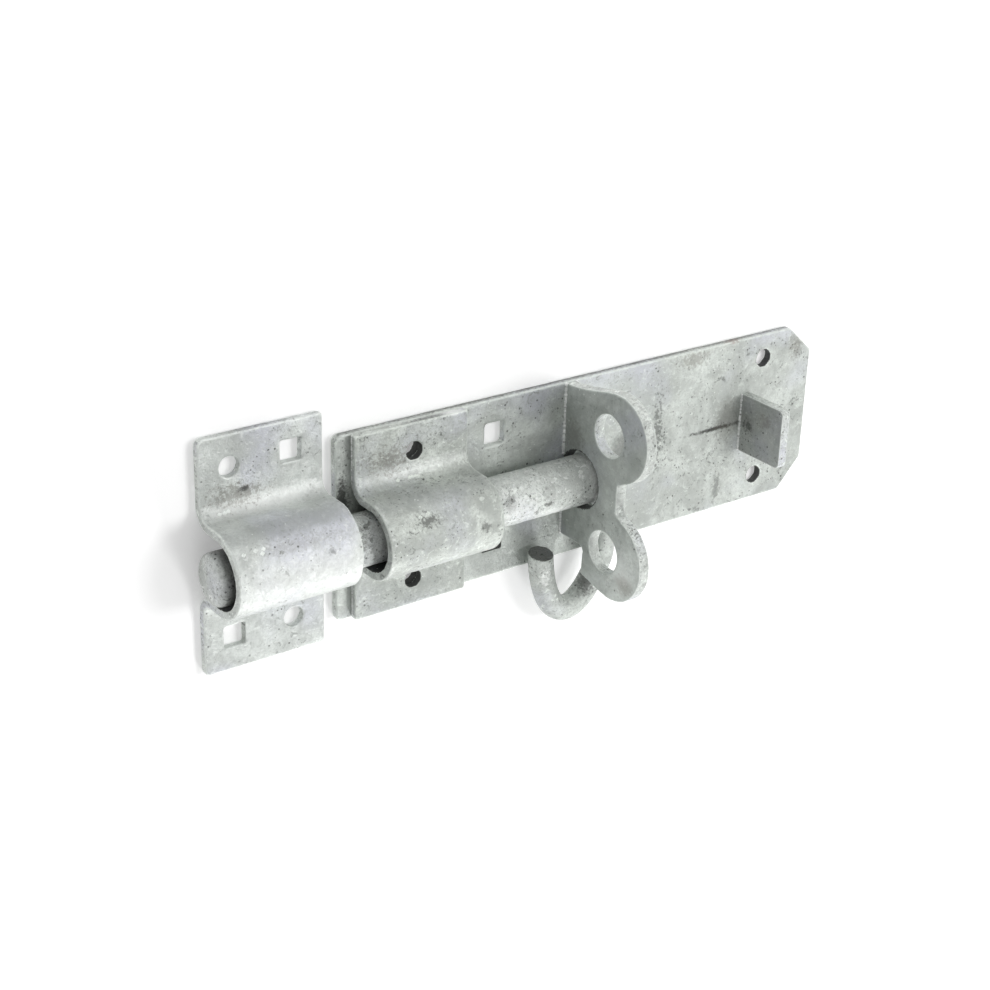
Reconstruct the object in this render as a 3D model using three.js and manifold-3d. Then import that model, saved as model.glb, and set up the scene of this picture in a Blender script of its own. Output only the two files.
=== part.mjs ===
import * as THREE from 'three';
import { mergeVertices } from 'three/addons/utils/BufferGeometryUtils.js';
import Module from 'manifold-3d';

const wasm = await Module();
wasm.setup();

// Sizes in millimetres. The plate's rear face is z = 0 and its middle is the origin.
// +X runs along the bolt from the keep to the stop tab, +Z away from the gate.
const plate = { length: 190, width: 60, thick: 3, cornerUp: 2.8, cornerLow: 1.6, cut: 10.6 };
const screwHole = 3.0;                 // radius of the plain round holes
const squareHole = { up: [-38.1, 18.5], low: [-38.1, -17.7], side: 7.4 };
const bar = { radius: 8, axisZ: 11.6, tip: -141.6, tail: 1.2, dome: 2.6 };
const strapThick = 2.7;
const strapBend = 5.35;                // radius of the strap's foot bends, on its middle line
const guide = { x: [-90, -50], inner: 9.4, top: 13.9 };
const keep = { x: [-139, -99], middleY: 1.5, width: 74, inner: 10.4, top: 12.2 };
const lock = { x: -11, thick: 4, middleY: -0.3, lobe: [20.15, 28.8], lobeRadius: 14.3, bore: 9.3 };
const shackle = { radius: 6.95, y: 19.7, z: 24.9 };
const notch = { half: 5.2, floor: 30 };
const relief = { y: -22.2, z: 14.8 };  // lets the handle's free end pass the foot of the lock plate
const tab = { x: 64.6, thick: 3.5, width: 20.6, height: 19.9, round: 1.8 };
const rod = { radius: 4.15, middleX: -10.6, half: 13.1, far: 14.4, start: 14.1, reach: 33.8, lean: 6,
  end: -22.8 };                        // far is half on the side past the lock plate
const bead = 1.7;                      // leg of the fillet welds

const zinc = new THREE.MeshStandardMaterial({ color: 0xb9bfba, roughness: 0.52, metalness: 0.65 });
const zincDark = new THREE.MeshStandardMaterial({ color: 0x9aa09b, roughness: 0.6, metalness: 0.6 });
const weld = new THREE.MeshStandardMaterial({ color: 0xcfd4cf, roughness: 0.42, metalness: 0.7 });

function solid(geometry) {
  const plain = geometry.clone();
  plain.deleteAttribute('normal');
  plain.deleteAttribute('uv');
  const merged = mergeVertices(plain, 1e-3);
  return new wasm.Manifold(new wasm.Mesh({
    numProp: 3,
    vertProperties: new Float32Array(merged.attributes.position.array),
    triVerts: new Uint32Array(merged.index.array),
  }));
}

function fromSolid(body) {
  const mesh = body.getMesh();
  const geometry = new THREE.BufferGeometry();
  const found = new Float32Array(mesh.numVert * 3);
  for (let i = 0; i < mesh.numVert; i += 1) {
    for (let k = 0; k < 3; k += 1) found[3 * i + k] = mesh.vertProperties[mesh.numProp * i + k];
  }
  geometry.setAttribute('position', new THREE.BufferAttribute(found, 3));
  geometry.setIndex(new THREE.BufferAttribute(new Uint32Array(mesh.triVerts), 1));
  geometry.computeVertexNormals();
  return geometry;
}

function part(name, geometry, material) {
  const mesh = new THREE.Mesh(geometry, material);
  mesh.name = name;
  return mesh;
}

function circleHole(x, y, radius, sides = 28) {
  const path = new THREE.Path();
  const points = [];
  for (let i = 0; i < sides; i += 1) {
    const a = -2 * Math.PI * (i + 0.5) / sides;
    points.push(new THREE.Vector2(x + radius * Math.cos(a), y + radius * Math.sin(a)));
  }
  path.setFromPoints(points);
  path.closePath();
  return path;
}

function squareCut(x, y, side) {
  const h = side / 2;
  return new THREE.Path([
    new THREE.Vector2(x - h, y - h), new THREE.Vector2(x - h, y + h),
    new THREE.Vector2(x + h, y + h), new THREE.Vector2(x + h, y - h),
  ]);
}

// A rectangle in plan with its own radius at each corner, from the low left one round.
function roundedRect(x0, x1, y0, y1, radii) {
  const [a, b, c, d] = radii;
  const shape = new THREE.Shape();
  shape.moveTo(x0 + a, y0);
  shape.lineTo(x1 - b, y0);
  shape.absarc(x1 - b, y0 + b, b, -Math.PI / 2, 0, false);
  shape.lineTo(x1, y1 - c);
  shape.absarc(x1 - c, y1 - c, c, 0, Math.PI / 2, false);
  shape.lineTo(x0 + d, y1);
  shape.absarc(x0 + d, y1 - d, d, Math.PI / 2, Math.PI, false);
  shape.lineTo(x0, y0 + a);
  shape.absarc(x0 + a, y0 + a, a, Math.PI, 1.5 * Math.PI, false);
  return shape;
}

function rise(shape, depth, segments = 8) {
  return new THREE.ExtrudeGeometry(shape, { depth, bevelEnabled: false, curveSegments: segments });
}

// Extrudes a profile drawn as (y, z) along +X, starting at x0.
function alongX(shape, x0, depth) {
  const geometry = rise(shape, depth);
  geometry.applyMatrix4(new THREE.Matrix4().makeBasis(
    new THREE.Vector3(0, 1, 0), new THREE.Vector3(0, 0, 1), new THREE.Vector3(1, 0, 0)));
  geometry.translate(x0, 0, 0);
  return geometry;
}

// The long plate that everything is welded to, with two of its corners cut off.
function makePlate() {
  const [l, w, c] = [plate.length / 2, plate.width / 2, plate.cut];
  const [up, low] = [plate.cornerUp, plate.cornerLow];
  const shape = new THREE.Shape();
  shape.moveTo(-l + low, -w);
  shape.lineTo(l - c + 1, -w);
  shape.lineTo(l, -w + c);
  shape.lineTo(l, w - c + 1);
  shape.lineTo(l - c, w);
  shape.lineTo(-l + up, w);
  shape.absarc(-l + up, w - up, up, Math.PI / 2, Math.PI, false);
  shape.lineTo(-l, -w + low);
  shape.absarc(-l + low, -w + low, low, Math.PI, 1.5 * Math.PI, false);
  shape.holes.push(squareCut(...squareHole.up, squareHole.side));
  shape.holes.push(squareCut(...squareHole.low, squareHole.side));
  for (const [x, y] of [[73.2, 21.4], [73.2, -21.4]]) shape.holes.push(circleHole(x, y, screwHole));
  for (const [x, y] of guideHoles) shape.holes.push(circleHole(x, y, screwHole));
  return rise(shape, plate.thick);
}

const guideHoles = [[-69.3, 21], [-69.3, -21.4]];

// The bent strap's profile: a flat foot on each side of a round-topped arch.
function strapProfile(base, half, inner, top, middle) {
  const t = strapThick / 2;
  const arch = inner + t;
  const line = [];                     // middle line as [y, z, normal angle]
  const add = (y, z, a) => line.push([y, z, a]);
  add(-half, base + t, Math.PI / 2);
  const steps = 8;
  for (let i = 0; i <= steps; i += 1) {
    const a = Math.PI / 2 * i / steps;
    add(-arch - strapBend + strapBend * Math.sin(a), base + t + strapBend * (1 - Math.cos(a)),
      Math.PI / 2 + a);
  }
  const turns = 32;
  for (let i = 0; i <= turns; i += 1) {
    const a = Math.PI * (1 - i / turns);
    add(arch * Math.cos(a), top + arch * Math.sin(a), a);
  }
  for (let i = steps; i >= 0; i -= 1) {
    const a = Math.PI / 2 * i / steps;
    add(arch + strapBend - strapBend * Math.sin(a), base + t + strapBend * (1 - Math.cos(a)),
      Math.PI / 2 - a);
  }
  add(half, base + t, Math.PI / 2);
  const side = (s) => line.map(([y, z, a]) => new THREE.Vector2(
    middle + y + s * t * Math.cos(a), z + s * t * Math.sin(a)));
  return new THREE.Shape([...side(-1), ...side(1).reverse()]);
}

function makeStrap(profile, x, plan) {
  const bent = solid(alongX(profile, x[0] - 2, x[1] - x[0] + 4));
  const cut = rise(plan, 60);
  cut.translate(0, 0, -10);
  return fromSolid(bent.intersect(solid(cut)));
}

function makeGuide() {
  const half = plate.width / 2;
  const plan = roundedRect(guide.x[0], guide.x[1], -half, half, [0.6, 0.6, 0.6, 0.6]);
  for (const [x, y] of guideHoles) plan.holes.push(circleHole(x, y, screwHole - 0.1));
  return makeStrap(strapProfile(plate.thick, half + 2, guide.inner, guide.top, 0), guide.x, plan);
}

function makeKeep() {
  const [y0, y1] = [keep.middleY - keep.width / 2, keep.middleY + keep.width / 2];
  const plan = roundedRect(keep.x[0], keep.x[1], y0, y1, [1.4, 0.6, 0.6, 2.6]);
  const [left, right] = [keep.x[0] + 9.9, keep.x[1] - 10.4];
  plan.holes.push(circleHole(left, keep.middleY + 27.1, 3.2), squareCut(right, keep.middleY + 27.7, 7));
  plan.holes.push(squareCut(left, keep.middleY - 26.2, 7), circleHole(right, keep.middleY - 25.8, 3.2));
  return makeStrap(strapProfile(0, keep.width / 2 + 2, keep.inner, keep.top, keep.middleY), keep.x, plan);
}

// The upright plate: two round lobes over a waisted foot, with a slot between them and a hole
// for the bolt that is open at the foot.
function makeLockPlate() {
  const m = lock.middleY;
  const [cy, cz] = lock.lobe;
  const base = plate.thick;
  const upper = [[notch.half, notch.floor], [notch.half + 0.15, 31.4]];
  for (let i = 0; i <= 20; i += 1) {
    const a = (163 - 168 * i / 20) * Math.PI / 180;
    upper.push([cy + lock.lobeRadius * Math.cos(a), cz + lock.lobeRadius * Math.sin(a)]);
  }
  const foot = [[33.7, 23], [32.5, 18.6], [31, 12], [30.2, 7], [30, base]];
  const points = [...upper, ...foot].map(([u, z]) => [m + u, z]);
  const lower = [[relief.y, base], [relief.y, relief.z - 1.6], [relief.y - 0.5, relief.z - 0.5],
    [relief.y - 1.6, relief.z], [-31.2, relief.z - 0.5], [-32, relief.z], [-32.8, 18.6], [-34, 23]];
  const back = [...upper].reverse().map(([u, z]) => [m - u, z]);
  const shape = new THREE.Shape([...points, ...lower, ...back].map(([y, z]) => new THREE.Vector2(y, z)));
  const blank = solid(alongX(shape, lock.x, lock.thick));
  const holes = [[0, bar.axisZ, lock.bore, 48], [m + shackle.y, shackle.z, shackle.radius, 36],
    [m - shackle.y, shackle.z, shackle.radius, 36]];
  return fromSolid(holes.reduce((body, hole) => body.subtract(crossPin(...hole)), blank));
}

// A cylinder along X through the lock plate, used as a cutter.
function crossPin(y, z, radius, sides) {
  const pin = new THREE.CylinderGeometry(radius, radius, 40, sides);
  pin.rotateZ(Math.PI / 2);
  pin.translate(lock.x, y, z);
  return solid(pin);
}

function makeTab() {
  const [h, top, r] = [tab.width / 2, plate.thick + tab.height, tab.round];
  const shape = new THREE.Shape();
  shape.moveTo(-h, plate.thick);
  shape.lineTo(h, plate.thick);
  shape.lineTo(h, top - r);
  shape.absarc(h - r, top - r, r, 0, Math.PI / 2, false);
  shape.lineTo(-h + r, top);
  shape.absarc(-h + r, top - r, r, Math.PI / 2, Math.PI, false);
  return alongX(shape, tab.x, tab.thick);
}

function makeBar() {
  const length = bar.tail - bar.tip;
  const profile = [[0, 0]];
  const edge = 2.4;                    // rounded shoulder behind the nearly flat domed tip
  for (let i = 1; i <= 6; i += 1) {
    const y = (bar.radius - edge) * i / 6;
    profile.push([y, (bar.dome - edge) * (i / 6) ** 2]);
  }
  for (let i = 1; i <= 8; i += 1) {
    const a = Math.PI / 2 * i / 8;
    profile.push([bar.radius - edge + edge * Math.sin(a), bar.dome - edge * Math.cos(a)]);
  }
  profile.push([bar.radius, length - 0.8], [bar.radius - 0.8, length], [0, length]);
  const geometry = new THREE.LatheGeometry(profile.map(([r, h]) => new THREE.Vector2(r, h)), 56);
  geometry.rotateZ(-Math.PI / 2);
  geometry.translate(bar.tip, 0, bar.axisZ);
  return fromSolid(solid(geometry));
}

// The handle's middle line as (x, distance from the bolt's axis), free end first.
function rodLine() {
  const points = [];
  const first = Math.asin((23.2 - rod.start) / rod.reach);
  for (let i = 0; i <= 22; i += 1) {
    const s = first + (Math.PI * 0.84 - first) * i / 22;
    const half = s < Math.PI / 2 ? rod.half : rod.far;
    points.push([rod.middleX - half * Math.cos(s), rod.start + rod.reach * Math.sin(s)]);
  }
  points.push([1.4, 22.5], [0.3, 15], [-0.7, 9.5], [-0.9, 4]);
  const tilt = rod.lean * Math.PI / 180;
  return new THREE.CatmullRomCurve3(points.map(([x, r]) => new THREE.Vector3(
    x, -r * Math.cos(tilt), bar.axisZ - r * Math.sin(tilt))), false, 'centripetal');
}

function ring(radius, sides) {
  const points = [];
  for (let i = 0; i < sides; i += 1) {
    const a = 2 * Math.PI * i / sides;
    points.push(new THREE.Vector2(radius * Math.cos(a), radius * Math.sin(a)));
  }
  return new THREE.Shape(points);
}

function barSpace(gap) {
  const cut = new THREE.CylinderGeometry(bar.radius + gap, bar.radius + gap, 60, 56);
  cut.rotateZ(Math.PI / 2);
  cut.translate(0, 0, bar.axisZ);
  return solid(cut);
}

function rodTube(radius) {
  return solid(new THREE.ExtrudeGeometry(ring(radius, 28),
    { steps: 72, bevelEnabled: false, extrudePath: rodLine() }));
}

function makeHandle() {
  const trim = new THREE.BoxGeometry(16, 20, 60);   // squares off the free end, facing up and outward
  trim.translate(0, 10, 0);
  trim.rotateX(12 * Math.PI / 180);
  trim.translate(-23, rod.end, bar.axisZ - 7.2);
  const body = rodTube(rod.radius).subtract(solid(trim));
  return fromSolid(body.subtract(barSpace(0.3)));
}

// Bead of weld that rings the handle where it meets the bar.
function makeHandleWeld() {
  const tilt = rod.lean * Math.PI / 180;
  const r = rod.radius;
  const profile = [[0, 6], [r + 1, 6], [r + 1, 8.9], [r + 0.7, 9.6], [r, 10.2], [0, 10.2]];
  const collar = new THREE.LatheGeometry(profile.map(([a, h]) => new THREE.Vector2(a, h)), 28);
  collar.rotateZ(Math.PI);             // the profile's height now runs along -Y
  collar.rotateX(tilt);
  collar.translate(-0.78, 0, bar.axisZ);
  return fromSolid(solid(collar).subtract(rodTube(r + 0.03)).subtract(barSpace(0.3)));
}

// Fillet weld along Y in the corner between the plate and a wall at x, on its left or right side.
function makeBead(x, side, y0, y1) {
  const [b, s] = [bead, side];
  const profile = [[0, 0], [s * b, 0], [s * b * 0.6, b * 0.28], [s * b * 0.28, b * 0.6], [0, b]];
  if (s > 0) profile.reverse();
  const shape = new THREE.Shape(profile.map(([u, v]) => new THREE.Vector2(u, v)));
  const geometry = rise(shape, y1 - y0);
  geometry.rotateX(Math.PI / 2);       // up the profile becomes +Z, along the bead becomes -Y
  geometry.translate(x, y1, plate.thick);
  return geometry;
}

const fixed = new THREE.Group();
fixed.add(part('back_plate', makePlate(), zinc));
fixed.add(part('guide', makeGuide(), zinc));
fixed.add(part('lock_plate', makeLockPlate(), zincDark));
fixed.add(part('stop_tab', makeTab(), zincDark));
const lockRight = lock.x + lock.thick;
fixed.add(part('lock_weld_upper', makeBead(lock.x, -1, 6, 29), weld));
fixed.add(part('lock_weld_lower', makeBead(lock.x, -1, -21.6, -6), weld));
fixed.add(part('lock_weld_rear_upper', makeBead(lockRight, 1, 6, 29), weld));
fixed.add(part('lock_weld_rear_lower', makeBead(lockRight, 1, -21.6, -6), weld));
fixed.add(part('tab_weld', makeBead(tab.x, -1, -9.8, 9.8), weld));
fixed.add(part('tab_weld_rear', makeBead(tab.x + tab.thick, 1, -9.8, 9.8), weld));

const sliding = new THREE.Group();
sliding.add(part('bolt_bar', makeBar(), zinc));

const turning = new THREE.Group();
turning.add(part('handle', makeHandle(), zinc));
turning.add(part('handle_weld', makeHandleWeld(), weld));
sliding.add(turning);

const loose = new THREE.Group();
loose.add(part('keep', makeKeep(), zinc));

const group = new THREE.Group();
group.add(fixed, sliding, loose);
export default group;
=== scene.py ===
import math

import bmesh
import bpy
from mathutils import Matrix, Vector


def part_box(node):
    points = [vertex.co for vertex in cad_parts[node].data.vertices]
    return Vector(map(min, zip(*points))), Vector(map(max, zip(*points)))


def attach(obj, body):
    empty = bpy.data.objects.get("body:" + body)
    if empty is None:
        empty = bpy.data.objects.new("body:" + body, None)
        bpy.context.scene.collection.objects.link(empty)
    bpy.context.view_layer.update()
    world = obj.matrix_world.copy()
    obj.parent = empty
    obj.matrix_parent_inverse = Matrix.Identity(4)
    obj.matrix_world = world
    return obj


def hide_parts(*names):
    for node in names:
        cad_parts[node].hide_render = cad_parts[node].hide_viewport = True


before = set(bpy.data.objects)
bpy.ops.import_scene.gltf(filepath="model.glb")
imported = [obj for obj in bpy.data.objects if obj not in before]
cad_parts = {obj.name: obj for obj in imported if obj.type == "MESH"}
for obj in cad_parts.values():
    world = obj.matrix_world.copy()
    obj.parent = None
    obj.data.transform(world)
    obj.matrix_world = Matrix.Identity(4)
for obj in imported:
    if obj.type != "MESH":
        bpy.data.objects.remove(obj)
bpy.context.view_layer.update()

mm = 0.001
print("frame loaded:", len(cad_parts), "nodes")


# Small helpers for node trees.

def put(tree, kind, **values):
    node = tree.nodes.new(kind)
    for key, value in values.items():
        if hasattr(node, key):
            setattr(node, key, value)
        else:
            node.inputs[key].default_value = value
    return node


def wire(tree, source, target, pin):
    if isinstance(source, bpy.types.Node):
        source = source.outputs[0]
    tree.links.new(source, target.inputs[pin])
    return target


def maths(tree, operation, a, b, clamp=False):
    node = put(tree, "ShaderNodeMath", operation=operation, use_clamp=clamp)
    for pin, value in enumerate((a, b)):
        if isinstance(value, (int, float)):
            node.inputs[pin].default_value = value
        else:
            wire(tree, value, node, pin)
    return node.outputs[0]


def fade(tree, value, start, end, low=0.0, high=1.0):
    node = put(tree, "ShaderNodeMapRange", interpolation_type="SMOOTHSTEP")
    wire(tree, value, node, 0)
    for pin, number in zip((1, 2, 3, 4), (start, end, low, high)):
        node.inputs[pin].default_value = number
    return node.outputs[0]


def noise(tree, where, scale, detail, rough, twist=0.0):
    node = put(tree, "ShaderNodeTexNoise", Scale=scale, Detail=detail, Roughness=rough, Distortion=twist)
    wire(tree, where, node, "Vector")
    return node.outputs[0]


def cells(tree, where, scale):
    node = put(tree, "ShaderNodeTexVoronoi", feature="F1", Scale=scale, Randomness=1.0)
    wire(tree, where, node, "Vector")
    return node


# A speck field: round dots, one in each cell, kept only where a slow noise is high.
def specks(tree, where, scale, size, share, offset):
    moved = put(tree, "ShaderNodeVectorMath", operation="ADD")
    wire(tree, where, moved, 0)
    moved.inputs[1].default_value = (offset, offset * 0.7, offset * 1.3)
    dots = cells(tree, moved, scale)
    split = put(tree, "ShaderNodeSeparateColor")
    wire(tree, dots.outputs["Color"], split, 0)
    radius = maths(tree, "MULTIPLY", split.outputs[0], size)
    dot = maths(tree, "SUBTRACT", 1.0, maths(tree, "DIVIDE", dots.outputs["Distance"], radius), True)
    chosen = fade(tree, split.outputs[1], 1.0 - share, 1.0 - share + 0.03)
    return maths(tree, "MULTIPLY", fade(tree, dot, 0.0, 0.45), chosen)


# Geometry Nodes trees.

def startTree(name, sockets):
    tree = bpy.data.node_groups.new(name, "GeometryNodeTree")
    face = tree.interface
    face.new_socket("Geometry", in_out="INPUT", socket_type="NodeSocketGeometry")
    for label, kind in sockets:
        face.new_socket(label, in_out="INPUT", socket_type="NodeSocket" + kind)
    face.new_socket("Geometry", in_out="OUTPUT", socket_type="NodeSocketGeometry")
    return tree, tree.nodes.new("NodeGroupInput"), tree.nodes.new("NodeGroupOutput")


def endTree(tree, given, out, shape):
    real = wire(tree, shape, put(tree, "GeometryNodeRealizeInstances"), 0)
    dressed = wire(tree, real, put(tree, "GeometryNodeSetMaterial"), 0)
    wire(tree, given.outputs["Material"], dressed, "Material")
    wire(tree, dressed, out, 0)
    return tree


# Zinc skin: pushes a surface in and out as a dipped coat does, in slow waves, lumps and pits.
def zincSkinTree():
    tree, given, out = startTree("zincSkin", [
        ("Wave height", "Float"), ("Wave size", "Float"), ("Lump height", "Float"), ("Lump size", "Float"),
        ("Pit depth", "Float"), ("Pit size", "Float"), ("Seed", "Float"), ("Material", "Material")])
    place = put(tree, "GeometryNodeInputPosition").outputs[0]
    shifted = put(tree, "ShaderNodeVectorMath", operation="ADD")
    wire(tree, place, shifted, 0)
    wire(tree, given.outputs["Seed"], shifted, 1)

    def field(size, height, detail):
        node = put(tree, "ShaderNodeTexNoise", Detail=detail)
        wire(tree, shifted, node, "Vector")
        wire(tree, maths(tree, "DIVIDE", 1.0, given.outputs[size]), node, "Scale")
        centred = maths(tree, "SUBTRACT", node.outputs[0], 0.5)
        return maths(tree, "MULTIPLY", centred, given.outputs[height])

    wave = field("Wave size", "Wave height", 2.0)
    lump = field("Lump size", "Lump height", 4.0)
    pits = cells(tree, shifted, 1.0)
    wire(tree, maths(tree, "DIVIDE", 1.0, given.outputs["Pit size"]), pits, "Scale")
    near = fade(tree, pits.outputs["Distance"], 0.08, 0.26, -1.0, 0.0)
    pit = maths(tree, "MULTIPLY", near, given.outputs["Pit depth"])
    total = maths(tree, "ADD", maths(tree, "ADD", wave, lump), pit)
    push = put(tree, "ShaderNodeVectorMath", operation="SCALE")
    wire(tree, put(tree, "GeometryNodeInputNormal"), push, 0)
    wire(tree, total, push, "Scale")
    moved = wire(tree, given.outputs[0], put(tree, "GeometryNodeSetPosition"), 0)
    wire(tree, push, moved, "Offset")
    smooth = wire(tree, moved, put(tree, "GeometryNodeSetShadeSmooth"), 0)
    return endTree(tree, given, out, smooth)


# Zinc seam: a row of small uneven lumps strung along a line, as on a weld or a thick edge.
def zincSeamTree():
    tree, given, out = startTree("zincSeam", [
        ("Spacing", "Float"), ("Lump radius", "Float"), ("Unevenness", "Float"), ("Gaps", "Float"),
        ("Seed", "Int"), ("Material", "Material")])
    line = wire(tree, given.outputs[0], put(tree, "GeometryNodeMeshToCurve"), 0)
    dots = wire(tree, line, put(tree, "GeometryNodeCurveToPoints", mode="LENGTH"), 0)
    wire(tree, given.outputs["Spacing"], dots, "Length")
    lump = put(tree, "GeometryNodeMeshUVSphere", Segments=8, Rings=5)
    wire(tree, given.outputs["Lump radius"], lump, "Radius")
    each = wire(tree, dots, put(tree, "GeometryNodeInstanceOnPoints"), 0)
    wire(tree, lump, each, "Instance")
    keepOne = put(tree, "FunctionNodeRandomValue", data_type="BOOLEAN")
    wire(tree, maths(tree, "SUBTRACT", 1.0, given.outputs["Gaps"]), keepOne, "Probability")
    wire(tree, given.outputs["Seed"], keepOne, "Seed")
    wire(tree, keepOne.outputs[3], each, "Selection")
    size = put(tree, "FunctionNodeRandomValue", data_type="FLOAT")
    wire(tree, maths(tree, "SUBTRACT", 1.0, given.outputs["Unevenness"]), size, 2)
    wire(tree, maths(tree, "ADD", 1.0, given.outputs["Unevenness"]), size, 3)
    wire(tree, given.outputs["Seed"], size, "Seed")
    wire(tree, size.outputs[1], each, "Scale")
    return endTree(tree, given, out, each)


# Zinc dross: small flattened grains that stick up here and there all over a dipped piece.
def zincDrossTree():
    tree, given, out = startTree("zincDross", [
        ("Grains per metre", "Float"), ("Grain radius", "Float"), ("Patch size", "Float"),
        ("Seed", "Int"), ("Material", "Material")])
    place = put(tree, "GeometryNodeInputPosition")
    patch = put(tree, "ShaderNodeTexNoise", Detail=2.0)
    wire(tree, place, patch, "Vector")
    wire(tree, maths(tree, "DIVIDE", 1.0, given.outputs["Patch size"]), patch, "Scale")
    dense = maths(tree, "MULTIPLY", fade(tree, patch, 0.5, 0.68), given.outputs["Grains per metre"])
    spots = put(tree, "GeometryNodeDistributePointsOnFaces", distribute_method="RANDOM")
    wire(tree, given.outputs[0], spots, 0)
    wire(tree, dense, spots, "Density")
    wire(tree, given.outputs["Seed"], spots, "Seed")
    grain = put(tree, "GeometryNodeMeshUVSphere", Segments=7, Rings=5)
    wire(tree, given.outputs["Grain radius"], grain, "Radius")
    each = wire(tree, spots, put(tree, "GeometryNodeInstanceOnPoints"), 0)
    wire(tree, grain, each, "Instance")
    wire(tree, spots.outputs["Rotation"], each, "Rotation")
    size = put(tree, "FunctionNodeRandomValue", data_type="FLOAT_VECTOR")
    size.inputs[0].default_value = (0.4, 0.4, 0.2)
    size.inputs[1].default_value = (1.3, 1.2, 0.5)
    wire(tree, given.outputs["Seed"], size, "Seed")
    wire(tree, size, each, "Scale")
    smooth = wire(tree, each, put(tree, "GeometryNodeSetShadeSmooth"), 0)
    return endTree(tree, given, out, smooth)


trees = {"skin": zincSkinTree(), "seam": zincSeamTree(), "dross": zincDrossTree()}


def giveInputs(modifier, values):
    for item in modifier.node_group.interface.items_tree:
        if item.item_type == "SOCKET" and item.in_out == "INPUT" and item.name in values:
            modifier[item.identifier] = values[item.name]


def addTree(piece, kind, values):
    modifier = piece.modifiers.new(kind, "NODES")
    modifier.node_group = trees[kind]
    giveInputs(modifier, values)


# Turns a piece with modifiers into a plain mesh at the origin.
def settle(piece):
    graph = bpy.context.evaluated_depsgraph_get()
    mesh = bpy.data.meshes.new_from_object(piece.evaluated_get(graph), depsgraph=graph)
    piece.modifiers.clear()
    piece.data = mesh
    mesh.name = piece.name


def newPiece(name, mesh):
    piece = bpy.data.objects.new(name, mesh)
    bpy.context.scene.collection.objects.link(piece)
    return piece


# The zinc finishes.

# A soft-edged local patch, used both for dirt marks and for painted light and shade: 1 in the middle of an
# oval, 0 outside, with a ragged edge.
def stainAndPaintedLightPatch(tree, where, centre, reach, ragged):
    away = put(tree, "ShaderNodeVectorMath", operation="SUBTRACT")
    wire(tree, where, away, 0)
    away.inputs[1].default_value = [c * mm for c in centre]
    scaled = put(tree, "ShaderNodeVectorMath", operation="DIVIDE")
    wire(tree, away, scaled, 0)
    scaled.inputs[1].default_value = [r * mm for r in reach]
    far = put(tree, "ShaderNodeVectorMath", operation="LENGTH")
    wire(tree, scaled, far, 0)
    fray = maths(tree, "SUBTRACT", noise(tree, where, coat["fray"], 4, 0.7), 0.5)
    frayed = maths(tree, "MULTIPLY", fray, ragged * 4)
    return fade(tree, maths(tree, "ADD", far.outputs["Value"], frayed), 0.25, 1.15, 1.0, 0.0)


def mixed(tree, low, high, amount):
    node = put(tree, "ShaderNodeMix", data_type="RGBA", clamp_factor=True)
    for pin, value in ((6, low), (7, high)):
        if isinstance(value, tuple):
            node.inputs[pin].default_value = (*value, 1)
        else:
            wire(tree, value, node, pin)
    wire(tree, amount, node, 0)
    return node.outputs[2]


# How fine each part of the coat's pattern is, in waves or cells for each metre.
coat = {"cloud": 62, "tint": 38, "crystal": 420, "fine": 1300, "grit": 430, "patch": 85, "blotch": 190,
        "pit": 330, "pinhole": 900, "fray": 900}
pitDark = (0.07, 0.073, 0.066)
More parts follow.
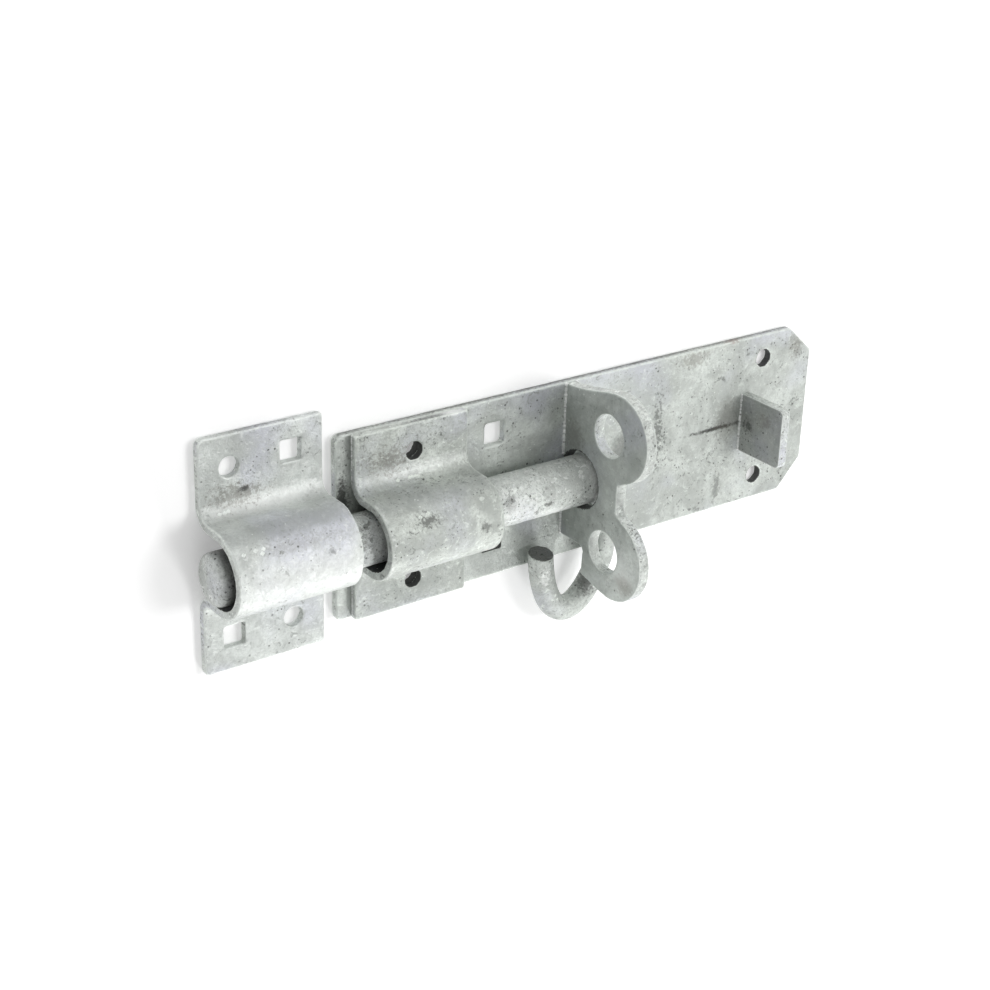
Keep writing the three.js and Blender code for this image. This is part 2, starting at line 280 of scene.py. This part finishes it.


# One zinc finish: its tone, its own marks and patches of painted light and shade, how many pits and how
# much dirt it has, how rough, how bare and how bumpy it is, and where in the endless pattern it is cut out.
def zincFinish(name, tone, marksAndPaintedLight, specky, grime, rough=0.42, metal=0.45, grain=0.55, seed=0.0):
    material = bpy.data.materials.new(name)
    material.use_nodes = True
    tree = material.node_tree
    shader = tree.nodes["Principled BSDF"]
    place = put(tree, "ShaderNodeTexCoord").outputs["Object"]
    shift = put(tree, "ShaderNodeVectorMath", operation="ADD")
    wire(tree, place, shift, 0)
    shift.inputs[1].default_value = (seed, seed * 0.6, seed * 0.3)
    where = shift.outputs[0]
    pale = tuple(c * 1.16 for c in tone)
    deep = tuple(c * 0.74 for c in tone)
    lilac = (tone[0] * 0.99, tone[1] * 0.96, tone[2] * 1.12)
    cloud = noise(tree, where, coat["cloud"], 5, 0.62, 0.6)
    colour = mixed(tree, deep, pale, fade(tree, cloud, 0.3, 0.68))
    blotch = noise(tree, where, coat["blotch"], 4, 0.7, 0.5)
    colour = mixed(tree, colour, deep, fade(tree, blotch, 0.52, 0.66, 0.0, grime))
    tint = noise(tree, where, coat["tint"], 2, 0.5)
    colour = mixed(tree, colour, lilac, fade(tree, tint, 0.5, 0.72, 0.0, 0.7))
    spangle = cells(tree, where, coat["crystal"])
    split = put(tree, "ShaderNodeSeparateColor")
    wire(tree, spangle.outputs["Color"], split, 0)
    colour = mixed(tree, colour, deep, fade(tree, split.outputs[0], 0.55, 1.0, 0.0, 0.25))
    fine = noise(tree, where, coat["fine"], 4, 0.8)
    grit = noise(tree, where, coat["grit"], 6, 0.75, 0.8)
    patchy = fade(tree, noise(tree, where, coat["patch"], 3, 0.6), 0.42, 0.60)
    colour = mixed(tree, colour, deep, fade(tree, fine, 0.50, 0.64, 0.0, grime * 1.2))
    worn = maths(tree, "MULTIPLY", fade(tree, grit, 0.56, 0.66), maths(tree, "ADD", patchy, 0.25))
    colour = mixed(tree, colour, tuple(c * 0.42 for c in tone), maths(tree, "MULTIPLY", worn, grime * 1.9))
    glint = tuple(min(1.0, c * 1.38) for c in tone)
    colour = mixed(tree, colour, glint, fade(tree, grit, 0.45, 0.36, 0.0, 0.15 + grime * 0.6))
    near = specks(tree, where, coat["pit"], 0.15, 0.3 * specky, 0.3)
    tiny = specks(tree, where, coat["pinhole"], 0.42, 0.5 * specky, 0.9)
    colour = mixed(tree, colour, pitDark, maths(tree, "MULTIPLY", near, 0.9))
    pinholes = maths(tree, "MULTIPLY", tiny, patchy)
    colour = mixed(tree, colour, pitDark, maths(tree, "MULTIPLY", pinholes, 0.85))
    for centre, reach, hue, strength, ragged in marksAndPaintedLight:
        amount = maths(tree, "MULTIPLY", stainAndPaintedLightPatch(tree, place, centre, reach, ragged), strength)
        colour = mixed(tree, colour, hue, amount)
    # Pointiness: paler flecks on convex edges are a painted edge highlight, and darkening in concave
    # creases is painted shade.
    rim = put(tree, "ShaderNodeNewGeometry").outputs["Pointiness"]
    colour = mixed(tree, colour, tuple(min(1.0, c * 1.35) for c in tone), maths(
        tree, "MULTIPLY", fade(tree, rim, 0.515, 0.56), fade(tree, grit, 0.40, 0.52, 0.35, 1.0)))
    colour = mixed(tree, colour, deep, fade(tree, rim, 0.485, 0.44, 0.0, 0.75))
    wire(tree, colour, shader, "Base Color")
    shader.inputs["Metallic"].default_value = metal
    gloss = maths(tree, "ADD", fade(tree, cloud, 0.3, 0.7, rough + 0.07, rough - 0.06),
                  maths(tree, "MULTIPLY", maths(tree, "SUBTRACT", fine, 0.5), 0.3))
    wire(tree, gloss, shader, "Roughness")
    relief = maths(tree, "ADD", maths(tree, "MULTIPLY", grit, 0.9), maths(tree, "MULTIPLY", fine, 0.4))
    relief = maths(tree, "SUBTRACT", relief, maths(tree, "MULTIPLY", maths(tree, "ADD", near, tiny), 0.25))
    bump = put(tree, "ShaderNodeBump", Strength=grain, Distance=0.0007)
    wire(tree, relief, bump, "Height")
    wire(tree, bump, shader, "Normal")
    return material


# Near-black is for dirt marks and for painted shade; the pale one is for pale zinc and for painted
# highlights.
sootAndPaintedShade = (0.07, 0.072, 0.066)
rustGrey = (0.17, 0.155, 0.13)
paleZincAndPaintedHighlight = (0.93, 0.95, 0.93)
# Painted shade.
shade = (0.30, 0.32, 0.31)

# The few marks that catch the eye, and patches of painted light and shade: middle, reach, hue, strength,
# raggedness. All else is random.
plateMarksAndPaintedLight = [
    ((54, 0, 3), (14, 1, 2), sootAndPaintedShade, 1.0, 0.45), ((59, 2, 3), (7, 9, 2), rustGrey, 0.35, 0.5),
    ((56, -22, 3), (2, 6, 2), sootAndPaintedShade, 0.5, 0.9), ((28, 3, 3), (2, 13, 2), sootAndPaintedShade, 0.6, 1.6),
    ((88, 24, 3), (4, 6, 2), rustGrey, 0.5, 0.8), ((42, 27, 3), (7, 3, 2), rustGrey, 0.45, 1.0),
    # The second here is painted shade in the recess at the plate's left end, beside the guide.
    ((59, 30, 2), (4, 1, 2), (0.22, 0.1, 0.08), 0.6, 0.4), ((-93, 10, 3), (3, 8, 2), sootAndPaintedShade, 0.9, 0.6),
    # Painted shade on the plate under the guide's bulge, and a painted shadow of the lock plate seen
    # through its padlock hole.
    ((-72, 0, 3), (25, 11, 3), sootAndPaintedShade, 0.9, 0.15), ((13, 2, 3), (6, 7, 2), sootAndPaintedShade, 0.6, 0.3),
    # Painted shade over the plate's lower band, and painted shade along its whole top edge.
    ((-28, -24, 3), (32, 8, 2), shade, 0.4, 0.4), ((0, 30.5, 1), (250, 1, 2), sootAndPaintedShade, 0.9, 0.4)]
keepMarksAndPaintedLight = [
    # Painted highlight in the upper hollow beside the bulge, and painted sheen over the arch.
    ((-119, 17, 5), (28, 4, 4), paleZincAndPaintedHighlight, 0.85, 0.3), ((-119, -1, 25), (34, 11, 8), paleZincAndPaintedHighlight, 0.45, 0.3),
    # The first here is a painted shade band on the bulge's upper side.
    ((-119, 14, 17), (40, 3, 7), shade, 0.5, 0.2), ((-127, 20, 4), (9, 4, 5), rustGrey, 0.55, 1.2),
    # The second here is painted shade along the keep's top edge.
    ((-125, 21, 3), (2, 1, 2), sootAndPaintedShade, 0.9, 0.4), ((-119, 39, 1), (21, 1, 2), sootAndPaintedShade, 0.6, 0.4),
    ((-119, 10, 22), (15, 2, 4), rustGrey, 0.2, 1.4), ((-109, 6, 24), (2, 1, 3), sootAndPaintedShade, 0.5, 0.8),
    # Painted shade over the lower flange.
    ((-119, -28, 3), (30, 12, 4), shade, 0.3, 0.5)]
guideMarksAndPaintedLight = [
    # The first here is a painted shade band on the bulge's upper side.
    ((-70, 12, 18), (40, 3, 7), shade, 0.45, 0.2), ((-90, 0, 16), (2, 14, 12), paleZincAndPaintedHighlight, 0.5, 0.9),
    # Painted highlight in the upper hollow beside the bulge, and painted shade along the top edge.
    ((-70, 16, 7), (26, 3, 3), paleZincAndPaintedHighlight, 0.6, 0.3), ((-64, 30.5, 5), (15, 1, 2), sootAndPaintedShade, 0.9, 0.4),
    ((-76, 7, 24), (4, 2, 4), sootAndPaintedShade, 0.7, 1.2), ((-57, 1, 26), (2, 2, 4), sootAndPaintedShade, 0.6, 1.0),
    ((-78, 20, 6), (9, 4, 2), rustGrey, 0.5, 1.4), ((-55, 30, 5), (5, 1, 3), paleZincAndPaintedHighlight, 0.7, 0.4),
    # Painted shade over the lower flange.
    ((-70, -24, 6), (24, 8, 4), shade, 0.4, 0.6)]
lobeStains = [
    ((-11, -27, 36), (2, 4, 5), rustGrey, 0.6, 0.6), ((-11, -22, 34), (2, 8, 8), paleZincAndPaintedHighlight, 0.25, 0.8),
    ((-11, 14, 8), (2, 6, 6), rustGrey, 0.35, 0.8)]
tabStains = [
    ((64, 0, 7), (2, 3, 3), sootAndPaintedShade, 0.75, 0.8), ((64, 4, 15), (2, 3, 4), rustGrey, 0.4, 0.9)]
barMarksAndPaintedShade = [
    ((-29, -1, 19), (2, 1, 3), sootAndPaintedShade, 0.8, 0.8), ((-43, 3, 19), (2, 4, 4), sootAndPaintedShade, 0.6, 1.4),
    ((-95, 2, 16), (3, 6, 6), sootAndPaintedShade, 0.5, 1.2), ((-40, -1, 18), (7, 5, 5), paleZincAndPaintedHighlight, 0.5, 1.4),
    # The last here is painted shade on the bar where it runs inside the keep's arch.
    ((-27, -5, 18), (9, 2, 3), paleZincAndPaintedHighlight, 0.6, 0.9), ((-134, 0, 12), (8, 60, 60), sootAndPaintedShade, 0.9, 0.1)]
handleStains = [
    ((-5, -39, 9), (4, 5, 6), sootAndPaintedShade, 0.7, 0.6), ((-23, -30, 11), (2, 5, 3), paleZincAndPaintedHighlight, 0.6, 0.9)]

finishes = {
    "plateZinc": zincFinish("plateZinc", (0.60, 0.635, 0.60), plateMarksAndPaintedLight, 0.9, 0.5, seed=0.11),
    "guideZinc": zincFinish("guideZinc", (0.58, 0.615, 0.575), guideMarksAndPaintedLight, 0.9, 0.75, seed=0.37),
    "keepZinc": zincFinish("keepZinc", (0.71, 0.745, 0.715), keepMarksAndPaintedLight, 0.7, 0.42, seed=0.53),
    "lobeZinc": zincFinish(
        "lobeZinc", (0.50, 0.535, 0.505), lobeStains, 0.2, 0.3, 0.46, grain=0.3, seed=0.71),
    "tabZinc": zincFinish("tabZinc", (0.44, 0.46, 0.44), tabStains, 0.7, 0.6, 0.46, seed=0.19),
    "barZinc": zincFinish("barZinc", (0.71, 0.745, 0.71), barMarksAndPaintedShade, 1.9, 0.9, 0.38, grain=0.8, seed=0.87),
    "handleZinc": zincFinish(
        "handleZinc", (0.58, 0.615, 0.58), handleStains, 1.2, 0.85, grain=0.7, seed=0.29),
    "edgeZinc": zincFinish("edgeZinc", (0.68, 0.715, 0.68), [], 1.5, 1.2, grain=0.9, seed=0.57),
    "seamZinc": zincFinish("seamZinc", (0.82, 0.85, 0.82), [], 0.8, 0.5, 0.36, 0.5, seed=0.63),
    # Near-black zinc that paints the shade inside holes, inside the bulges and in the lock plate's bore.
    "paintedShadeInside": zincFinish("paintedShadeInside", (0.10, 0.105, 0.10), [], 0.3, 0.5, 0.6, 0.2, seed=0.93),
    "drossZinc": zincFinish("drossZinc", (0.64, 0.67, 0.64), [], 0.2, 0.3, 0.4, 0.55, seed=0.41),
}
print("finishes made:", len(finishes))


# The dipped steel pieces, with all lengths in mm.

waveSize = 14


# Makes one piece from the frame's own shape: an even mesh with softened edges, under a zinc skin.
def dippedPiece(name, nodes, body, finish, look):
    shell = bmesh.new()
    for node in nodes:
        shell.from_mesh(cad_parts[node].data)
    bmesh.ops.remove_doubles(shell, verts=shell.verts, dist=0.002 * mm)
    mesh = bpy.data.meshes.new(name)
    shell.to_mesh(mesh)
    shell.free()
    piece = newPiece(name, mesh)
    even = piece.modifiers.new("even", "REMESH")
    even.mode = "VOXEL"
    even.voxel_size = look["meshStep"] * mm
    soft = piece.modifiers.new("soft", "SMOOTH")
    soft.factor, soft.iterations = 0.5, look["soften"]
    addTree(piece, "skin", {
        "Wave height": look["wave"] * mm, "Wave size": waveSize * mm, "Lump height": look["lump"] * mm,
        "Lump size": look["lumpSize"] * mm, "Pit depth": look["pit"] * mm, "Pit size": look["pitSize"] * mm,
        "Seed": look["seed"], "Material": finishes[finish]})
    settle(piece)
    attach(piece, body)
    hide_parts(*nodes)
    print(name, "has", len(piece.data.polygons), "faces")
    return piece


backPlate = {"meshStep": 0.55, "soften": 1, "wave": 0.12, "lump": 0.22,
             "lumpSize": 2.6, "pit": 0.06, "pitSize": 3.4, "seed": 1.3}
guideStrap = {"meshStep": 0.42, "soften": 1, "wave": 0.12, "lump": 0.22,
              "lumpSize": 2.4, "pit": 0.07, "pitSize": 3.6, "seed": 2.1}
keepStrap = {"meshStep": 0.42, "soften": 1, "wave": 0.12, "lump": 0.22,
             "lumpSize": 2.5, "pit": 0.07, "pitSize": 3.3, "seed": 3.7}
lockPlate = {"meshStep": 0.36, "soften": 2, "wave": 0.08, "lump": 0.07,
             "lumpSize": 3.4, "pit": 0.02, "pitSize": 5.0, "seed": 4.4}
stopTab = {"meshStep": 0.3, "soften": 2, "wave": 0.06, "lump": 0.10,
           "lumpSize": 2.2, "pit": 0.05, "pitSize": 4.0, "seed": 5.9}
boltBar = {"meshStep": 0.42, "soften": 2, "wave": 0.18, "lump": 0.26,
           "lumpSize": 2.4, "pit": 0.10, "pitSize": 2.9, "seed": 6.2}
hookHandle = {"meshStep": 0.33, "soften": 2, "wave": 0.18, "lump": 0.12,
              "lumpSize": 2.2, "pit": 0.07, "pitSize": 3.2, "seed": 7.8}

backPiece = dippedPiece("backPlate", ["back_plate"], "plate", "plateZinc", backPlate)
guidePiece = dippedPiece("guideStrap", ["guide"], "plate", "guideZinc", guideStrap)
lockPiece = dippedPiece("lockPlate", ["lock_plate"], "plate", "lobeZinc", lockPlate)
tabPiece = dippedPiece("stopTab", ["stop_tab"], "plate", "tabZinc", stopTab)
barPiece = dippedPiece("boltBar", ["bolt_bar"], "bolt", "barZinc", boltBar)
handlePiece = dippedPiece("hookHandle", ["handle"], "handle", "handleZinc", hookHandle)
keepPiece = dippedPiece("keepStrap", ["keep"], "keep", "keepZinc", keepStrap)


# Gives the faces that pass a test one more finish.
def refinish(piece, finish, chosen):
    piece.data.materials.append(finish)
    last = len(piece.data.materials) - 1
    for face in piece.data.polygons:
        if chosen(face.center / mm, face.normal):
            face.material_index = last


# True inside a bulge: the face looks at the bolt's axis and is nearer to it than the strap's outside.
def insideBulge(middle, reach):
    def test(centre, normal):
        inward = Vector((0, centre.y - middle[0], centre.z - middle[1]))
        return inward.length < reach and normal.dot(inward) < 0 and abs(normal.x) < 0.6
    return test


# True on the wall of a hole that runs straight through, near one of the given middles.
def holeWall(middles, reach):
    def test(centre, normal):
        return abs(normal.z) < 0.75 and any(
            math.hypot(centre.x - x, centre.y - y) < reach for x, y in middles)
    return test


# Middles of the round and square holes, of the two bulges and of the bar, in mm.
guideHoles = [(-69.3, 21), (-69.3, -21.4)]
endHoles = [(73.2, 21.4), (73.2, -21.4)]
lowSquareHole = [(-38.1, -17.7)]
guideMiddle, keepMiddle, barHeight = (0, 13.9), (1.5, 12.2), 11.6
guideReach, keepReach, boreReach, boreEdge = 10.3, 11.3, 9.75, 11
roundReach, squareReach = 4.0, 5.5


# How far a point stands off the bar's middle line.
def offBar(centre):
    return math.hypot(centre.y, centre.z - barHeight)


# True on the ends of a strap or of the plate, which look along the bolt.
def endFace(centre, normal):
    return abs(normal.x) > 0.7


inside, sheared = finishes["paintedShadeInside"], finishes["edgeZinc"]
refinish(backPiece, sheared, lambda centre, normal: endFace(centre, normal) and centre.z > 0.3)
refinish(guidePiece, sheared, endFace)
refinish(keepPiece, sheared, endFace)
# Painted shade: the walls of the round and square holes and the insides of the bulges get the near-black
# finish.
refinish(backPiece, inside, holeWall(endHoles + guideHoles, roundReach))
refinish(backPiece, inside, holeWall(lowSquareHole, squareReach))
refinish(guidePiece, inside, holeWall(guideHoles, roundReach))
refinish(guidePiece, inside, insideBulge(guideMiddle, guideReach))
refinish(keepPiece, inside, insideBulge(keepMiddle, keepReach))
refinish(lockPiece, sheared, lambda centre, normal: abs(normal.x) < 0.75 and offBar(centre) > boreEdge)
# Painted shade in the lock plate's bore.
refinish(lockPiece, inside, lambda centre, normal: offBar(centre) < boreReach)
refinish(tabPiece, sheared, lambda centre, normal: abs(normal.x) < 0.75)

# The handle's free end is sheared rod, dark and hardly coated, cut a little out of square.
cutEnd = zincFinish("cutEnd", (0.19, 0.195, 0.185), [], 0.5, 0.9, 0.6, 0.3, seed=0.77)
cutTilt = math.radians(12)
endFacing = Vector((0, math.cos(cutTilt), math.sin(cutTilt)))
armLeft, endLow = -16, -25.4
refinish(handlePiece, cutEnd, lambda centre, normal:
         normal.dot(endFacing) > 0.86 and centre.y > endLow and centre.x < armLeft)

collar = {"meshStep": 0.3, "soften": 4, "wave": 0.3, "lump": 0.3,
          "lumpSize": 1.8, "pit": 0.03, "pitSize": 3.0, "seed": 8.4}
dippedPiece("handleCollar", ["handle_weld"], "handle", "seamZinc", collar)


# Welds and thick zinc edges.

def seamLine(name, lines, body, look, nodes=()):
    mesh = bpy.data.meshes.new(name)
    points, edges = [], []
    for line in lines:
        first = len(points)
        points += [Vector(p) * mm for p in line]
        edges += [(first + i, first + i + 1) for i in range(len(line) - 1)]
    mesh.from_pydata(points, edges, [])
    piece = newPiece(name, mesh)
    addTree(piece, "seam", {
        "Spacing": look["spacing"] * mm, "Lump radius": look["radius"] * mm, "Unevenness": look["uneven"],
        "Gaps": look["gaps"], "Seed": look["seed"], "Material": finishes["seamZinc"]})
    fused = piece.modifiers.new("fused", "REMESH")
    fused.mode = "VOXEL"
    fused.voxel_size = look["meshStep"] * mm
    fused.use_smooth_shade = True
    settle(piece)
    piece.data.materials.clear()
    piece.data.materials.append(finishes["seamZinc"])
    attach(piece, body)
    if nodes:
        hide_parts(*nodes)
    print(name, "has", len(piece.data.polygons), "faces")


# A line across the plate at one height, swaying a little from side to side as a hand-laid weld does.
def across(x, z, y0, y1, steps=24):
    return [(x + weldSway * math.sin(i * 1.7), y0 + (y1 - y0) * i / steps, z) for i in range(steps + 1)]


fillet = {"spacing": 0.55, "radius": 0.62, "uneven": 0.35, "gaps": 0.06, "meshStep": 0.22, "seed": 11}
thinRun = {"spacing": 0.26, "radius": 0.27, "uneven": 0.35, "gaps": 0.12, "meshStep": 0.14, "seed": 23}
lockLeft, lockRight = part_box("lock_plate")[0].x / mm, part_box("lock_plate")[1].x / mm
tabLeft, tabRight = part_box("stop_tab")[0].x / mm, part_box("stop_tab")[1].x / mm
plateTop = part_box("back_plate")[1].z / mm
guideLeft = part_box("guide")[0].x / mm
tabHalf, guideHalf, weldSway = 9.8, 29.6, 0.1
flangeTop, flangeBottom = 14.5, -15

for side, node in ((lockLeft, "lock_weld"), (lockRight, "lock_weld_rear")):
    for half in ("upper", "lower"):
        y0, y1 = (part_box(f"{node}_{half}")[k].y / mm for k in (0, 1))
        seamLine(f"{'left' if side == lockLeft else 'right'}Seam{half.capitalize()}",
                 [across(side, plateTop, y0, y1)], "plate", fillet, [f"{node}_{half}"])
for side, name, node in ((tabLeft, "tabSeamLeft", "tab_weld"), (tabRight, "tabSeamRight", "tab_weld_rear")):
    seamLine(name, [across(side, plateTop, -tabHalf, tabHalf)], "plate", fillet, [node])
runX, runZ = guideLeft + 0.1, plateTop + 0.9
seamLine("guideEdgeRun", [across(runX, runZ, flangeTop, guideHalf),
                              across(runX, runZ, -guideHalf, flangeBottom)], "plate", thinRun)


# Dross grains, one mesh for each body.

def drossOn(name, owners, body, look):
    gathered = bmesh.new()
    for owner in owners:
        gathered.from_mesh(owner.data)
    mesh = bpy.data.meshes.new(name)
    gathered.to_mesh(mesh)
    gathered.free()
    piece = newPiece(name, mesh)
    addTree(piece, "dross", {
        "Grains per metre": look["perSquareMetre"], "Grain radius": look["radius"] * mm,
        "Patch size": look["patch"] * mm, "Seed": look["seed"], "Material": finishes["drossZinc"]})
    settle(piece)
    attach(piece, body)
    print(name, "has", len(piece.data.polygons), "faces")


plateDross = {"perSquareMetre": 50000, "radius": 0.22, "patch": 16, "seed": 5}
boltDross = {"perSquareMetre": 60000, "radius": 0.21, "patch": 12, "seed": 6}
handleDross = {"perSquareMetre": 40000, "radius": 0.2, "patch": 9, "seed": 7}
keepDross = {"perSquareMetre": 25000, "radius": 0.22, "patch": 14, "seed": 8}
drossOn("plateDrossGrains", [backPiece, guidePiece, lockPiece, tabPiece], "plate", plateDross)
drossOn("boltDrossGrains", [barPiece], "bolt", boltDross)
drossOn("handleDrossGrains", [handlePiece], "handle", handleDross)
drossOn("keepDrossGrains", [keepPiece], "keep", keepDross)


# Floor, light and camera.

# Lamp power in watts and all lengths in metres, but the floor's drop in mm.
studio = {"floorTone": 0.93, "floorGlow": 0.24, "air": 0.54, "key": 3.3, "keySize": 0.24,
          "top": 3.4, "topSize": 0.46, "brow": 0.45, "browSize": 0.2, "lampAway": 0.9,
          "keyFrom": (0.26, -0.86, 0.44), "topFrom": (0.52, 0.14, 0.84), "browFrom": (0.50, 0.75, 0.42),
          "lampAim": (-0.02, 0, 0), "floorSides": 64, "floorReach": 3.0, "floorDrop": 0.25}
# The camera's place, what it looks at, its lens and its sensor in mm, and its roll in degrees.
bench = {"place": (-358.2, 245.4, 439.2), "aim": (-35.1, -4, 0), "lens": 69.7, "sensor": 36, "roll": -1.7}


def makeFloor():
    mesh = bpy.data.meshes.new("floorSheet")
    sides, reach, drop = studio["floorSides"], studio["floorReach"], studio["floorDrop"] * mm
    turns = [2 * math.pi * i / sides for i in range(sides)]
    ring = [(reach * math.cos(turn), reach * math.sin(turn), -drop) for turn in turns]
    mesh.from_pydata(ring, [], [tuple(range(sides))])
    floor = newPiece("floorSheet", mesh)
    paper = bpy.data.materials.new("whitePaper")
    paper.use_nodes = True
    shader = paper.node_tree.nodes["Principled BSDF"]
    shader.inputs["Base Color"].default_value = (studio["floorTone"],) * 3 + (1,)
    shader.inputs["Roughness"].default_value = 0.95
    shader.inputs["Specular IOR Level"].default_value = 0.1
    shader.inputs["Emission Color"].default_value = (1, 1, 1, 1)
    shader.inputs["Emission Strength"].default_value = studio["floorGlow"]
    mesh.materials.append(paper)


def makeLamp(name, direction, away, size, power):
    lamp = bpy.data.lights.new(name, "AREA")
    lamp.shape, lamp.size, lamp.energy = "DISK", size, power
    holder = bpy.data.objects.new(name, lamp)
    aim = Vector(direction).normalized()
    holder.location = aim * away + Vector(studio["lampAim"])
    holder.rotation_euler = aim.to_track_quat("Z", "Y").to_euler()
    bpy.context.scene.collection.objects.link(holder)


def makeWorld():
    world = bpy.data.worlds.new("studioAir")
    world.use_nodes = True
    back = world.node_tree.nodes["Background"]
    back.inputs["Color"].default_value = (1, 1, 1, 1)
    back.inputs["Strength"].default_value = studio["air"]
    bpy.context.scene.world = world


def makeCamera():
    lens = bpy.data.cameras.new("benchCamera")
    lens.lens, lens.sensor_width, lens.clip_start = bench["lens"], bench["sensor"], 0.01
    camera = bpy.data.objects.new("benchCamera", lens)
    place = Vector(bench["place"]) * mm
    look = (Vector(bench["aim"]) * mm - place).normalized()
    level = look.cross(Vector((0, 1, 0))).normalized()
    right = Matrix.Rotation(math.radians(bench["roll"]), 3, look) @ level
    up = right.cross(look)
    turn = Matrix((right, up, -look)).transposed().to_4x4()
    camera.matrix_world = Matrix.Translation(place) @ turn
    bpy.context.scene.collection.objects.link(camera)
    bpy.context.scene.camera = camera


makeFloor()
makeLamp("keyLamp", studio["keyFrom"], studio["lampAway"], studio["keySize"], studio["key"])
makeLamp("topLamp", studio["topFrom"], studio["lampAway"], studio["topSize"], studio["top"])
makeLamp("browLamp", studio["browFrom"], studio["lampAway"], studio["browSize"], studio["brow"])
makeWorld()
makeCamera()
bpy.context.scene.view_settings.view_transform = "Standard"
print("studio ready")
